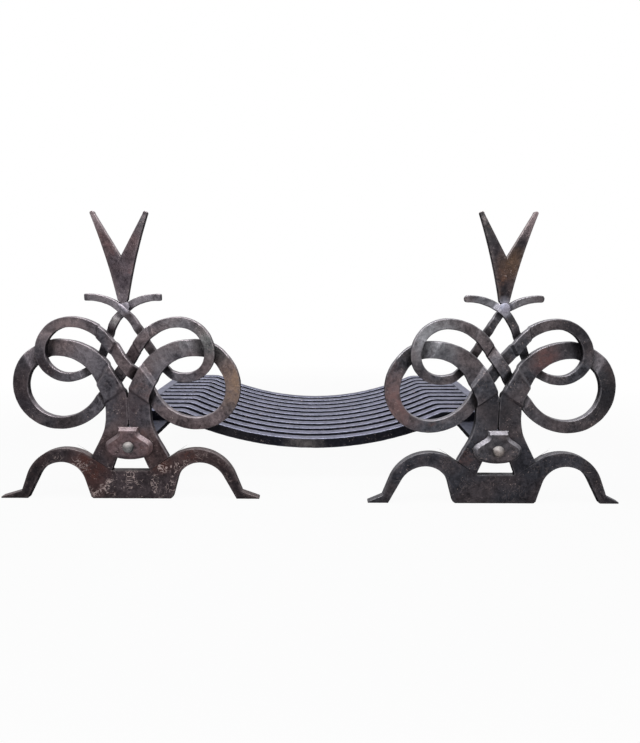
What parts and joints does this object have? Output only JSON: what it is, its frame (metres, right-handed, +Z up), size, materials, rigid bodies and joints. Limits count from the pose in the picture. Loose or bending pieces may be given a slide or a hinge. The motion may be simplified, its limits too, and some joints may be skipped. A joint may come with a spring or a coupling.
{
  "type": "andiron pair with fire grate",
  "caption": "Pair of forged fire dogs with interlaced scroll fronts and fishtail spears, and a dished bar grate that rests across their log bars.",
  "frame": {"origin": "on the floor, under the middle of the set's bounding box", "axes": "+X across the hearth to the viewer's right, +Y from the scroll fronts back into the fireplace, +Z up"},
  "size_m": [1.119, 0.592, 0.5099],
  "materials": {
    "base_iron": "forged, fire-browned, faint scratches",
    "bar_iron": "forged, rubbed on the edges",
    "keeper_iron": "forged, bevels rubbed bright",
    "log_bar_iron": "forge scale, sooty",
    "grate_iron": "rolled bar, blue-grey scale"
  },
  "bodies": {
    "left_fire_dog": {"left_base_plate": "base_iron", "left_scroll_bar_a": "bar_iron", "left_scroll_bar_b": "bar_iron", "left_spear": "bar_iron", "left_keeper": "keeper_iron", "left_rivet": "keeper_iron", "left_log_bar": "log_bar_iron"},
    "right_fire_dog": {"right_base_plate": "base_iron", "right_scroll_bar_a": "bar_iron", "right_scroll_bar_b": "bar_iron", "right_spear": "bar_iron", "right_keeper": "keeper_iron", "right_rivet": "keeper_iron", "right_log_bar": "log_bar_iron"},
    "grate": {"slat_01": "grate_iron", "slat_02": "grate_iron", "slat_03": "grate_iron", "slat_04": "grate_iron", "slat_05": "grate_iron", "slat_06": "grate_iron", "slat_07": "grate_iron", "slat_08": "grate_iron", "slat_09": "grate_iron", "slat_10": "grate_iron", "slat_11": "grate_iron", "left_end_bar": "grate_iron", "right_end_bar": "grate_iron"}
  },
  "joints": [
    {"name": "right_dog_spacing", "type": "slide", "parent": "left_fire_dog", "child": "right_fire_dog", "axis": [1, 0, 0], "range_m": [-0.02, 0.03]},
    {"name": "grate_lift", "type": "slide", "parent": "left_fire_dog", "child": "grate", "axis": [0, 0, 1], "range_m": [0, 0.2]}
  ]
}
